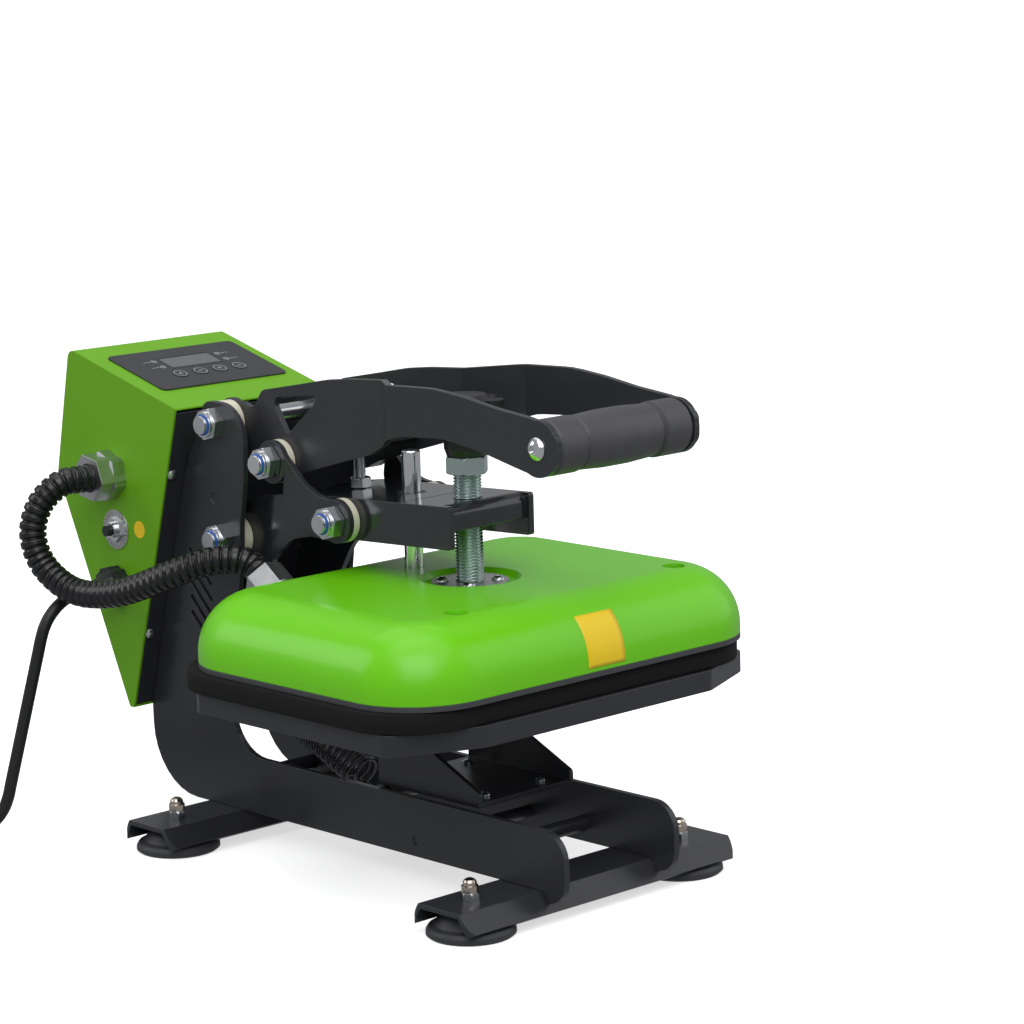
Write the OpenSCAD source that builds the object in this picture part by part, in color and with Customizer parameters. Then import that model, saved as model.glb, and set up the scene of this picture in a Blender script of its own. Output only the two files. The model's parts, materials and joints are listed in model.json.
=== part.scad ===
/* [Pressing plates] */
// width of the pressing plates, side to side
plate_w = 305; // [220:1:400]
// depth of the pressing plates, front to back
plate_d = 230; // [180:1:320]
// corner radius of the plates seen from above
plate_corner_r = 50; // [10:1:60]
// front-to-back position of the plates
plate_y = -100.5; // [-130:0.5:-60]
// underside of the fixed lower plate
lower_z = 119; // [100:1:140]
// thickness of the lower steel plate
lower_t = 13; // [4:0.5:16]
// thickness of the silicone pad
pad_t = 13; // [5:0.5:16]
// gap between pad and hot plate when closed
closed_gap = 0.3; // [0.3:0.1:2]
// thickness of the hot plate's rim
hot_rim_t = 3.5; // [2:0.5:8]
// top of the heater cover
cover_top = 192; // [170:1:210]
// radius rolled along the cover's top edge
cover_round = 38; // [10:1:40]
// sheet thickness of the heater cover
cover_wall = 2; // [1:0.5:4]

/* [Frame] */
// outer width across the frame side plates
frame_w = 98; // [90:1:120]
// thickness of the laser-cut steel plates
steel_t = 4; // [3:0.5:6]
// length of the two foot bars
foot_bar_len = 230.2; // [180:1:300]
// front foot bar position
front_bar_y = -190.4; // [-220:1:-150]
// rear foot bar position
rear_bar_y = 93.1; // [60:1:140]
// top of the foot bars above the floor
foot_bar_top = 21; // [16:1:30]
// distance of each foot from the centre line
foot_x = 89.6; // [60:1:110]
// radius of each rubber foot
foot_r = 27.4; // [15:0.2:35]
// top of the base beam
beam_top = 58.8; // [45:0.1:80]

/* [Linkage] */
// handle pivot on the frame
pivot_a = [86.6, 277.8];
// arm pivot on the frame
pivot_b = [82.9, 201.9];
// pivot between handle and link
pivot_c = [36.7, 256.4];
// pivot between link and arm
pivot_d = [-24.7, 224.6];
// radius of the pivot bolts
pivot_r = 6; // [4:0.5:8]
// radius of the nylon bushes
bush_r = 14; // [9:0.5:16]
// outer width across the narrow handle plates and the arm
inner_w = 71; // [60:1:80]
// outer width across the handle at the grip
handle_w = 119; // [100:1:140]
// grip centre
grip_c = [-226.3, 292];
// radius of the grip's end collars
grip_r = 17; // [12:0.5:20]

/* [Pressure screw] */
// radius of the pressure screw
screw_r = 9; // [5:0.5:10]
// top of the arm's web at its front edge
web_top = 243; // [230:1:260]
// radius of the guide rod
guide_r = 6; // [4:0.5:8]
// guide rod position, front to back
guide_y = -48.3; // [-70:0.1:-30]
// radius to the tips of the star knob
knob_r = 25; // [18:1:32]

/* [Control box] */
// half of the control box width
box_hw = 64; // [50:1:80]
// lower front edge of the box, side view
box_low_front = [169.2, 78.5];
// lower back edge of the box
box_low_back = [173.8, 78.5];
// middle back edge of the box
box_mid_back = [243.3, 231.7];
// top back edge of the box
box_top_back = [224.1, 318.2];
// top front edge of the box
box_top_front = [109.3, 286.7];
// sheet thickness of the box
box_t = 1.5; // [1:0.1:3]

/* [Cables] */
// outer radius of the corrugated conduit
conduit_r = 9.3; // [5:0.1:12]
// radius of the power cord
cord_r = 4.1; // [2.5:0.1:5]

/* [Hidden] */
$fn = 48;
run_gap = 0.05;
frame_x = frame_w/2;
frame_in = frame_x - steel_t;
link_out = frame_in - 0.4;
link_in = link_out - steel_t;
inner_x = inner_w/2;
inner_in = inner_x - steel_t;
handle_x = handle_w/2;
pad_top = lower_z + lower_t + pad_t;
hot_z = pad_top + closed_gap;
cover_z = hot_z + hot_rim_t;
hot_top = cover_z + 9.2;
dish_z = cover_top - 4;
box_side = [box_low_front, box_low_back, box_mid_back, box_top_back, box_top_front];
tray_hw = box_hw - box_t - 0.3;
slope_deg = atan2(box_top_back[1] - box_top_front[1], box_top_back[0] - box_top_front[0]);
front_len = norm(box_top_front - box_low_front);
front_deg = atan2(box_top_front[1] - box_low_front[1], box_top_front[0] - box_low_front[0]);
panel_x = 2;
panel_v = [29.5, 94];
panel_hw = 53;
key_x = [-23, -6, 10.5, 27];
key_v = 50.8;
key_r = 5.2;
gland_y = 181.7;
gland_z = 236.5;
breaker_y = 179.5;
breaker_z = 199.4;
cord_y = 179.8;
cord_z = 161.2;
hot_gland_x = -66;
hot_gland_tilt = 35;
tail_pin = [117.7, 95];
spring_rod = [-13, 38];
spring_r = 12.5;
spring_wire = 2.8;
nut_af = 19;
nut_t = 12;
web_t = 4;
stop_y = 1.7;
stop_r = 3.95;
stop_z = 225;
stop_len = 36.5;
web_fall = 0.0443;
screw_z = 175;
screw_len = 122;
jam_z = 257.6;
jam_t = 10.7;
knob_z = 268.6;
knob_top = 306.9;
knob_skirt = 284;
flange_r = 24.3;
flange_t = 1.8;
cover_fix = [[-80, -175], [105, -175]];
guide_len = 108;
element_r = 4;
element_z = hot_top + element_r + 0.4;
element_y = 64;
element_x = 104;
element_bend = 34;
gland_neck_z = 32;
gland_hex_z = 39.6;
gland_bore_z = 44;

function unit(v) = v/norm(v);
// height of the web's upper face at a front-to-back position
function web_z(y) = web_top - (y + 122.3)*web_fall;
// corner k of a closed outline of [y, z, radius], drawn as an arc
function arc_pts(p, k) =
  let (n = len(p), c = [p[k][0], p[k][1]], r = p[k][2],
       a = [p[(k + n - 1) % n][0], p[(k + n - 1) % n][1]],
       b = [p[(k + 1) % n][0], p[(k + 1) % n][1]],
       u = unit(a - c), w = unit(b - c), half = acos(u*w)/2)
  r < 0.05 || half > 89 ? [c] :
  let (m = c + unit(u + w)*r/sin(half), s = c + u*r/tan(half), e = c + w*r/tan(half),
       a0 = atan2(s[1] - m[1], s[0] - m[0]), a1 = atan2(e[1] - m[1], e[0] - m[0]),
       d = a1 - a0 > 180 ? a1 - a0 - 360 : a1 - a0 < -180 ? a1 - a0 + 360 : a1 - a0,
       k2 = max(2, ceil(abs(d)/12)))
  [for (i = [0:k2]) m + r*[cos(a0 + d*i/k2), sin(a0 + d*i/k2)]];
function outline(p) = [for (k = [0:len(p) - 1]) each arc_pts(p, k)];
// outline moved inwards by a distance for each edge, counter-clockwise points
function inset(p, d) =
  let (n = len(p))
  [for (k = [0:n - 1])
    let (a = p[(k + n - 1) % n], b = p[k], c = p[(k + 1) % n],
         u = unit(b - a), w = unit(c - b), nu = [-u[1], u[0]], nw = [-w[1], w[0]],
         da = d[(k + n - 1) % n], dc = d[k], det = nu[0]*nw[1] - nu[1]*nw[0],
         ra = nu*b + da, rc = nw*b + dc)
    [(ra*nw[1] - rc*nu[1])/det, (rc*nu[0] - ra*nw[0])/det]];
// smooth path through points
function spline(p, m) =
  let (n = len(p))
  [for (i = [0:n - 2]) for (j = [0:m - 1])
    let (t = j/m, a = p[max(i - 1, 0)], b = p[i], c = p[i + 1], e = p[min(i + 2, n - 1)])
    0.5*(2*b + (c - a)*t + (2*a - 5*b + 4*c - e)*t*t + (3*b - a - 3*c + e)*t*t*t),
   p[n - 1]];

// path along corners of [x, y, z, bend radius]
function bends(p) =
  let (n = len(p), c = [for (q = p) [q[0], q[1], q[2]]])
  [c[0], for (k = [1:n - 2])
    let (u = unit(c[k] - c[k - 1]), w = unit(c[k + 1] - c[k]), turn = acos(u*w), r = p[k][3],
         v = unit(w - (u*w)*u), s = c[k] - u*r*tan(turn/2), m = max(2, ceil(turn/9)))
    for (i = [0:m]) s + r*(v*(1 - cos(turn*i/m)) + u*sin(turn*i/m)),
   c[n - 1]];

module yz(x0, x1) translate([x0, 0, 0]) rotate([90, 0, 90]) linear_extrude(x1 - x0) children();
module both() for (s = [0, 1]) mirror([s, 0, 0]) children();
module x_rod(c, r, x0, x1) translate([x0, c[0], c[1]]) rotate([0, 90, 0]) cylinder(r = r, h = x1 - x0);
module hexagon(af, h) cylinder(d = af/cos(30), h = h, $fn = 6);
// nylon-insert nut on +X, its seat at x0
module lock_nut(c, x0) translate([x0, c[0], c[1]]) rotate([0, 90, 0]) difference() {
  union() {
    intersection() {
      rotate(15) hexagon(nut_af, nut_t - 3.4);
      cylinder(r1 = 13, r2 = 9.4, h = nut_t);
    }
    cylinder(r = 8.4, h = nut_t - 1);
  }
  translate([0, 0, -1]) cylinder(r = pivot_r + run_gap, h = nut_t + 2);
}
module bush(c, x0, x1, bore) difference() {
  x_rod(c, bush_r, x0, x1);
  x_rod(c, bore, x0 - 1, x1 + 1);
}
module sweep(path, r, sides, ref) {
  n = len(path);
  function tangent(i) = unit(path[min(i + 1, n - 1)] - path[max(i - 1, 0)]);
  rings = [for (i = [0:n - 1]) let (t = tangent(i), u = unit(cross(t, ref)), w = cross(t, u))
    for (k = [0:sides - 1]) path[i] + r*(u*cos(360*k/sides) + w*sin(360*k/sides))];
  walls = [for (i = [0:n - 2]) for (k = [0:sides - 1]) let (k2 = (k + 1) % sides)
    [i*sides + k, (i + 1)*sides + k, (i + 1)*sides + k2, i*sides + k2]];
  polyhedron(rings, concat(walls, [[for (k = [0:sides - 1]) k]],
    [[for (k = [sides - 1:-1:0]) (n - 1)*sides + k]]), convexity = 8);
}
module plate_2d(hw, hd, r) for (d = [[hw - r, hd], [hw, hd - r]]) square(2*d, center = true);
module plate(hw, hd, r, z0, z1) translate([0, plate_y, z0]) linear_extrude(z1 - z0) union() {
  plate_2d(hw, hd, r);
  for (sx = [-1, 1], sy = [-1, 1]) translate([sx*(hw - r), sy*(hd - r)]) circle(r, $fn = 96);
}

// base -----------------------------------------------------------------

module foot_bar(y) translate([0, y, 0]) intersection() {
  yz(-foot_bar_len/2, foot_bar_len/2) polygon([
    [-26.1, 8.7], [-18.3, foot_bar_top], [18.3, foot_bar_top], [26.1, 8.7],
    [23.6, 7.1], [16.6, foot_bar_top - 3], [-16.6, foot_bar_top - 3], [-23.6, 7.1]]);
  translate([0, 0, 5]) linear_extrude(20) polygon(outline([
    [-foot_bar_len/2, -26.2, 7], [foot_bar_len/2, -26.2, 7],
    [foot_bar_len/2, 26.2, 7], [-foot_bar_len/2, 26.2, 7]]));
}
module front_foot_bar() color("dimgray") difference() {
  foot_bar(front_bar_y);
  foot_holes();
}
module rear_foot_bar() color("dimgray") difference() {
  foot_bar(rear_bar_y);
  foot_holes();
}
module at_feet() for (x = [-foot_x, foot_x], y = [front_bar_y, rear_bar_y]) translate([x, y, 0]) children();
module foot_holes() at_feet() cylinder(r = 3.2, h = 30);
module rubber_feet() color("black") at_feet() difference() {
  rotate_extrude() polygon([[0, 0], [25.5, 0], [foot_r, 1.5], [foot_r - 0.2, 4], [25.8, 6.2],
    [22.4, 7.4], [19.2, 12], [16.2, 15.5], [11, 17.8], [0, 17.8]]);
  translate([0, 0, 8]) cylinder(r = 3.2, h = 20);
}
module foot_studs() color("silver") at_feet() {
  translate([0, 0, 8.2]) cylinder(r = 3, h = 22);
  translate([0, 0, foot_bar_top]) intersection() {
    hexagon(10, 5);
    cylinder(r1 = 7, r2 = 5.2, h = 5);
  }
}
module acorn_nuts() color("tan") at_feet() translate([0, 0, foot_bar_top + 5.1]) difference() {
  rotate_extrude() polygon([[0, 0], [5.2, 0], [5.2, 4], [4.4, 4.4], [4.2, 6.2], [3.3, 7.6], [1.9, 8.4],
    [0, 8.6]]);
  translate([0, 0, -1]) cylinder(r = 3.05, h = 6);
}
module side_plate_2d() difference() {
  polygon(outline([
    [-229.8, beam_top, 18], [-229.8, 14.4, 15], [-214.6, 14.4, 0], [-211, foot_bar_top + 0.2, 0],
    [168.3, foot_bar_top + 0.2, 45], [168.3, 79.5, 0], [122.2, 240, 0],
    [101.6, 280, 12], [99.5, 291.6, 9], [57.7, 291.6, 24], [60.4, 241, 0], [65.6, 213, 0],
    [67.7, 182, 0], [87, beam_top, 30]]));
  for (c = [pivot_a, pivot_b]) translate(c) circle(pivot_r + run_gap);
  for (k = [0:4]) translate([109.7, 180 - 10.5*k]) rotate(45) square([31, 3.2], center = true);
}
module side_plate() difference() {
  yz(frame_in, frame_x) side_plate_2d();
  for (c = [[91.7, 228], [-97.3, 32]]) x_rod(c, 3.6, frame_x - 0.8, frame_x + 1);
}
module left_side_plate() color("dimgray") mirror([1, 0, 0]) side_plate();
module right_side_plate() color("dimgray") side_plate();
module frame_ties() color("dimgray") {
  for (c = [[-150, 33], [115, 29]]) x_rod(c, 5, -frame_in, frame_in);
  x_rod([-100, 32], 4, -frame_in, frame_in);
  x_rod(spring_rod, 6, -frame_in, frame_in);
}
module platen_bracket() color("dimgray") {
  translate([-40, -146, beam_top]) cube([80, 93, 3]);
  both() difference() {
    yz(37, 40) polygon(outline([[-147, beam_top + 2.9, 0], [-53, beam_top + 2.9, 0],
      [-53, lower_z, 0], [-78, lower_z, 3], [-84, 100, 18], [-97, 90.5, 10], [-147, 68, 3]]));
  }
  translate([-46, -76, lower_z - 3]) cube([92, 23, 3]);
}
module bracket_screws() color("black") for (x = [-24, 24], y = [-134, -66]) translate([x, y, beam_top + 3])
  intersection() {
    cylinder(r = 3.5, h = 3);
    translate([0, 0, -2.6]) sphere(r = 5.2);
  }
module lower_platen() color("dimgray") {
  hw = plate_w/2 - 1.5;
  hd = plate_d/2 - 1;
  translate([0, plate_y, lower_z]) linear_extrude(lower_t) polygon(outline([
    [hw - 55, -hd, 10], [hw, 24 - hd, 10], [hw, hd - 24, 10], [hw - 55, hd, 10],
    [55 - hw, hd, 10], [-hw, hd - 24, 10], [-hw, 24 - hd, 10], [55 - hw, -hd, 10]]));
}
module silicone_pad() color("black") translate([-2.5, 4.5, 0])
  plate(plate_w/2 + 0.8, plate_d/2 + 1, plate_corner_r - 4, lower_z + lower_t, pad_top);
module pivot_rods() color("silver") for (c = [pivot_a, pivot_b])
  x_rod(c, pivot_r, -frame_x - nut_t - 1.8, frame_x + nut_t + 1.8);
module pivot_nuts() color("lightgray") both() for (c = [pivot_a, pivot_b]) lock_nut(c, frame_x);
module pivot_bushes() color("ivory") both() for (c = [pivot_a, pivot_b])
  bush(c, inner_x + 0.3, frame_in, pivot_r + run_gap);
module spring() color("dimgray") {
  d = tail_pin - spring_rod;
  len_s = norm(d);
  translate([0, spring_rod[0], spring_rod[1]]) rotate([atan2(d[1], d[0]) - 90, 0, 0]) {
    translate([0, 0, 14]) difference() {
      cylinder(r = spring_r, h = len_s - 26);
      translate([0, 0, 2]) cylinder(r = spring_r - spring_wire, h = len_s - 30);
    }
    spring_eye(9, 6.4);
    translate([-1.3, -1.3, 8]) cube([spring_wire, spring_wire, 7]);
    translate([0, 0, len_s]) spring_eye(7, 4.4);
    translate([-1.3, -1.3, len_s - 13]) cube([spring_wire, spring_wire, 7]);
  }
}
module spring_eye(r_out, r_in) translate([-spring_wire/2, 0, 0]) rotate([0, 90, 0]) difference() {
  cylinder(r = r_out, h = spring_wire);
  translate([0, 0, -1]) cylinder(r = r_in, h = 5);
}

// control box ----------------------------------------------------------

module box_cover() color("yellowgreen") difference() {
  yz(-box_hw, box_hw) polygon(outline([[each box_low_front, 0], [each box_low_back, 2],
    [each box_mid_back, 6], [each box_top_back, 6], [each box_top_front, 1.2]]));
  yz(-box_hw + box_t, box_hw - box_t) polygon(inset(box_side, [box_t, box_t, box_t, box_t, -6]));
  translate([-box_hw - 1, gland_y, gland_z]) rotate([0, 90, 0]) cylinder(r = 9, h = 4);
  translate([-box_hw - 1, breaker_y, breaker_z]) rotate([0, 90, 0]) cylinder(r = 6.2, h = 4);
  translate([-box_hw - 1, cord_y, cord_z]) rotate([0, 90, 0]) cylinder(r = 7.2, h = 4);
  on_slope() for (x = key_x) translate([panel_x + x, key_v, -4]) cylinder(r = 6.4, h = 8);
}
module box_tray() color("dimgray") on_front() {
  translate([-tray_hw, 2.4, -box_t]) cube([2*tray_hw, front_len - 5.7, box_t]);
  both() translate([tray_hw - box_t, 20, -14]) cube([box_t, front_len - 23.3, 14]);
}
// frame on the sloping top: x across, y up the slope from its front edge, z outwards
module on_slope() translate([0, box_top_front[0], box_top_front[1]]) rotate([slope_deg, 0, 0]) children();
// frame on the box's front sheet: x across, y up the sheet from its low edge, z outwards
module on_front() translate([0, box_low_front[0], box_low_front[1]]) rotate([front_deg, 0, 0]) children();
module box_screws() color("silver") both() on_front() for (v = [54.7, 169.8]) translate([-59.4, v, 0])
  intersection() {
    cylinder(r = 3.4, h = 2.4);
    translate([0, 0, -2.2]) sphere(r = 4.6);
  }
module overlay_panel() color("black") difference() {
  on_slope() translate([panel_x, 0, 0.05]) linear_extrude(1.1) difference() {
    polygon(outline([[-panel_hw, panel_v[0], 4], [panel_hw, panel_v[0], 4],
      [panel_hw, panel_v[1], 4], [-panel_hw, panel_v[1], 4]]));
    for (x = key_x) translate([x, key_v]) circle(key_r + 0.3);
    translate([0.6, 71]) square([43.4, 18.4], center = true);
  }
}
module lcd_window() color("gray") on_slope() translate([panel_x + 0.6 - 21.5, 62, 0.05]) cube([43, 18, 0.9]);
module key(k) color("dimgray") on_slope() translate([panel_x + key_x[k], key_v, -1.5])
  cylinder(r = key_r, h = 3.1);
module key_1() key(0);
module key_2() key(1);
module key_3() key(2);
module key_4() key(3);
module control_board() color("green") on_slope() translate([panel_x - 46, 24, -6]) cube([92, 74, 1.6]);
module solid_state_relay() color("black") on_front() translate([6, 96, -27]) cube([45, 60, 25]);
module box_gland() color("silver") translate([-box_hw, gland_y, gland_z]) rotate([0, -90, 0]) difference() {
  union() {
    translate([0, 0, -6]) cylinder(r = 8.6, h = 8);
    rotate(8) hexagon(29, 9);
    rotate(20) hexagon(28, 20);
    cylinder(r = 14.5, h = 1.4);
  }
  translate([0, 0, 4]) cylinder(r = conduit_r + 0.3, h = 30);
}
module breaker() color("silver") translate([-box_hw, breaker_y, breaker_z]) rotate([0, -90, 0]) difference() {
  union() {
    translate([0, 0, -24]) cylinder(r = 6, h = 26);
    cylinder(r = 13.4, h = 0.8);
    rotate(12) hexagon(15, 3);
    cylinder(r = 5.4, h = 6);
  }
  translate([0, 0, -4]) cylinder(r = 3.9, h = 20);
}
module reset_button() color("black") translate([-box_hw, breaker_y, breaker_z]) rotate([0, -90, 0])
  cylinder(r = 3.6, h = 9.5);
module cord_gland() color("black") translate([-box_hw, cord_y, cord_z]) rotate([0, -90, 0]) difference() {
  union() {
    translate([0, 0, -8]) cylinder(r = 7, h = 10);
    linear_extrude(10) {
      circle(12.6);
      for (a = [0:30:330]) rotate(a) translate([12, 0]) circle(1.6);
    }
    translate([0, 0, 9.9]) cylinder(r1 = 10.5, r2 = 5.6, h = 12.1);
  }
  translate([0, 0, -9]) cylinder(r = cord_r + 0.3, h = 40);
}

// cables ---------------------------------------------------------------

conduit_pts = [[-box_hw - 8, gland_y, gland_z], [-90, gland_y, gland_z], [-104, 185, 235], [-117, 191, 222],
  [-123, 192, 202], [-121, 182, 181], [-115, 156, 167.5], [-108, 118, 171], [-98, 78, 186],
  [-86, 56, 195], [-74, 41, 197], [-67, 32.5, 193.5], [hot_gland_x, 25.6, 188.4], [hot_gland_x, 15, 181]];
cord_corners = [[-box_hw - 12, cord_y, cord_z], [-121, cord_y, cord_z, 33], [-156, 200, cord_r, 34],
  [-195.6, 230.5, cord_r]];
coil_c = [-187.1, 297.1];
module conduit() color("black") sweep(spline(conduit_pts, 3), conduit_r, 10, [1, 0, -1]);
module cord() color("black") sweep(bends(cord_corners), cord_r, 8, [0.2, 1, 0.2]);
module cord_coil() color("black") translate([coil_c[0], coil_c[1], 0]) rotate_extrude($fn = 64)
  polygon(outline([[28.3, 0.2, 5], [62.4, 0.2, 5], [62.4, 17.2, 5], [28.3, 17.2, 5]]));
module plug() color("black") translate([coil_c[0] + 49, coil_c[1] + 44.4, 0]) {
  translate([10, -13, 0.1]) cube([38, 26, 17]);
  translate([0, 0, 8.6]) rotate([0, 90, 0]) cylinder(r1 = 4.6, r2 = 8, h = 12);
  for (y = [-6.3, 6.3]) translate([47.5, y - 0.8, 5.4]) cube([18, 1.6, 6.4]);
  translate([47.5, 0, 12.3]) rotate([0, 90, 0]) cylinder(r = 2.3, h = 20);
}
module cord_tie() color("dimgray") translate([coil_c[0], coil_c[1] - 45.3, 8.7]) rotate([90, 0, 90])
  linear_extrude(5, center = true) difference() {
    square([35.6, 17.4], center = true);
    square([34.4, 17.1], center = true);
  }

// handle ---------------------------------------------------------------

module handle_side() polygon(outline([[77, 292.2, 3], [64, 287, 8], [54.6, 300.6, 8], [16, 307.5, 60],
  [-8.3, 312.1, 60], [-31.7, 314.6, 60], [-60, 316.3, 60], [-90, 318.5, 60], [-137, 320, 120],
  [-165, 317, 60], [-192.6, 312.7, 40], [-219.7, 309.8, 20], [-230, 308, 8], [-243, 300, 6],
  [-243.3, 284, 8], [-228, 275, 6], [-205, 279.8, 30], [-177.7, 285.9, 60], [-144, 290.5, 80],
  [-106, 288, 60], [-70, 278.5, 30], [-52, 269.2, 30], [-5, 256.1, 30], [19, 249.1, 20], [33, 243, 3],
  [82, 264.2, 2]]));
module handle_plan() polygon([[inner_in, 110], [inner_in, -64], [handle_x - steel_t, -96],
  [handle_x - steel_t, -250], [handle_x, -250], [handle_x, -94.8], [inner_x, -62.8], [inner_x, 110]]);
module arm_plate() difference() {
  union() {
    intersection() {
      yz(0, 70) handle_side();
      translate([0, 0, 200]) linear_extrude(140) handle_plan();
    }
    x_rod(pivot_a, 15, inner_in, inner_x);
    x_rod(pivot_c, 14, inner_in, inner_x);
    x_rod(grip_c, grip_r, handle_x - steel_t, handle_x);
  }
  x_rod(pivot_a, pivot_r + run_gap, 0, 70);
  x_rod(pivot_c, pivot_r + run_gap, 0, 70);
  x_rod(grip_c, 5.05, 0, 70);
  yz(0, 70) polygon(outline([[45.5, 296.5, 5], [-6, 302.5, 3], [30.6, 273, 4]]));
}
module left_handle_arm() color("dimgray") mirror([1, 0, 0]) arm_plate();
module right_handle_arm() color("dimgray") arm_plate();
module handle_plate() color("dimgray") yz(-inner_in, inner_in)
  polygon([[21, 258.4], [21.8, 262.3], [-21.4, 272.6], [-22.2, 268.7]]);
module grip() color("dimgray") translate([0, grip_c[0], grip_c[1]]) rotate([0, 90, 0]) rotate_extrude($fn = 64)
  polygon(outline([[5.3, -55.2, 0], [15.6, -55.2, 1.5], [grip_r, -53, 1], [grip_r, -34, 0.6],
    [15.3, -33, 0.3], [15.3, -31.5, 0.3], [16.2, -30, 0.5], [17.3, -10, 40], [17.3, 10, 40], [16.2, 30, 0.5],
    [15.3, 31.5, 0.3], [15.3, 33, 0.3], [grip_r, 34, 0.6], [grip_r, 53, 1], [15.6, 55.2, 1.5],
    [5.3, 55.2, 0]]));
module grip_bolt() color("silver") {
  x_rod(grip_c, 5, -handle_x - 0.5, handle_x + 0.5);
  both() translate([handle_x, grip_c[0], grip_c[1]]) rotate([0, 90, 0]) difference() {
    intersection() {
      cylinder(r = 7, h = 4.4);
      translate([0, 0, -4.2]) sphere(r = 8.6);
    }
    translate([0, 0, 2]) hexagon(5, 4);
  }
}
module toggle_rod() color("silver") {
  x_rod(pivot_c, pivot_r, -link_out - nut_t - 2.4, link_out + nut_t + 2.4);
}
module toggle_nuts() color("lightgray") both() lock_nut(pivot_c, link_out + 0.4);

// link -----------------------------------------------------------------

module link_2d() {
  d = pivot_d - pivot_c;
  difference() {
    union() {
      translate(pivot_c) circle(14);
      translate(pivot_d) circle(14);
      polygon(outline([[22.6, 257.5, 0], [26, 236, 8], [14, 222, 22], [0, 212.5, 16], [-20, 211.4, 6],
        [-24.7, 224, 0], [-20, 237.8, 3], [-8.6, 239.2, 24], [6, 246, 22], [31, 268.5, 0], [45, 262, 0],
        [43, 244, 4]]));
    }
    translate(pivot_c) circle(pivot_r + run_gap);
    translate(pivot_d) circle(pivot_r + run_gap);
  }
}
module link_plates() color("dimgray") both() yz(link_in, link_out) link_2d();
module link_bushes() color("ivory") both() {
  bush(pivot_c, inner_x + 0.3, link_in, pivot_r + run_gap);
  bush(pivot_d, inner_x + 0.3, link_in, pivot_r + run_gap);
}
module link_bolts() color("silver") both() x_rod(pivot_d, pivot_r, inner_x + 0.5, link_out + nut_t + 2.4);
module link_nuts() color("lightgray") both() lock_nut(pivot_d, link_out + 0.4);

// arm ------------------------------------------------------------------

module arm_side() difference() {
  union() {
    polygon(outline([[-122.3, web_top, 2], [-122.3, 216, 2], [-24, 212, 20], [8, 210, 30], [30, 206, 30],
      [50, 190, 40], [66, 164, 60], [106.4, 90, 2], [129, 98, 2], [100.5, 196, 20], [92, 219, 10],
      [60, 231, 40], [20, web_z(20), 20]]));
    translate(pivot_b) circle(17);
    translate(tail_pin) circle(11.6);
  }
  translate(pivot_b) circle(pivot_r + run_gap);
}
module upper_arm() color("dimgray") difference() {
  union() {
    both() yz(inner_in, inner_x) arm_side();
    yz(-inner_in - 0.1, inner_in + 0.1) polygon(outline([[19.7, web_z(19.7), 0], [-119, web_z(-119), 7],
      [-119, 226.4, 0.8], [-115, 226.4, 0.8], [-115, web_z(-115) - web_t, 3], [19.7, web_z(19.7) - web_t, 0]]));
    translate([0, plate_y, 225.5]) rotate(30) hexagon(27, 12.7);
    x_rod(tail_pin, 4, -inner_in - 0.1, inner_in + 0.1);
  }
  translate([0, plate_y, 200]) cylinder(r = screw_r + run_gap, h = 60);
  translate([0, guide_y, 200]) cylinder(r = 9, h = 60);
  translate([0, stop_y, 200]) cylinder(r = stop_r + run_gap, h = 60);
  translate([-inner_in, -76.6, web_z(-76.6) - 0.9]) cube([2*inner_in, 1, 2]);
}
module guide_bush() color("black") translate([0, guide_y, 224]) difference() {
  union() {
    cylinder(r = 8.95, h = 16);
    cylinder(r = 12, h = 11);
  }
  translate([0, 0, -1]) cylinder(r = guide_r + run_gap, h = 20);
}
module stop_bolt() color("silver") translate([0, stop_y, 0]) {
  translate([0, 0, stop_z]) cylinder(r = stop_r, h = stop_len);
  translate([0, 0, web_z(stop_y) + 0.5]) hexagon(13, 6.5);
  translate([0, 0, web_z(stop_y) - web_t - 7]) hexagon(13, 6.5);
}

// hot plate ------------------------------------------------------------

// solid with a rounded top edge: plate with corner radius rc, edge radius re
module domed_2d(hw, re, z1) {
  square([hw, z1 - re]);
  square([hw - re, z1]);
  translate([hw - re, z1 - re]) circle(re, $fn = 96);
}
module quarter_2d(rc, re, z1) intersection() {
  domed_2d(rc, re, z1);
  square([rc, z1]);
}
module domed(hw, hd, rc, re, z0, z1) translate([0, plate_y, z0]) {
  for (sx = [-1, 1], sy = [-1, 1]) translate([sx*(hw - rc), sy*(hd - rc), 0])
    rotate_extrude($fn = 96) quarter_2d(rc, re, z1 - z0);
  both_axes(hw, hd, rc, re, z1 - z0);
}
module both_axes(hw, hd, rc, re, h) {
  rotate([90, 0, 0]) linear_extrude(2*(hd - rc), center = true) {
    quarter_from(hw, rc, re, h);
    mirror([1, 0]) quarter_from(hw, rc, re, h);
  }
  rotate([90, 0, 90]) linear_extrude(2*(hw - rc), center = true) {
    quarter_from(hd, rc, re, h);
    mirror([1, 0]) quarter_from(hd, rc, re, h);
  }
}
module quarter_from(hw, rc, re, h) {
  translate([-0.01, 0]) square([hw - rc + 0.02, h]);
  translate([hw - rc, 0]) quarter_2d(rc, re, h);
}
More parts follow.
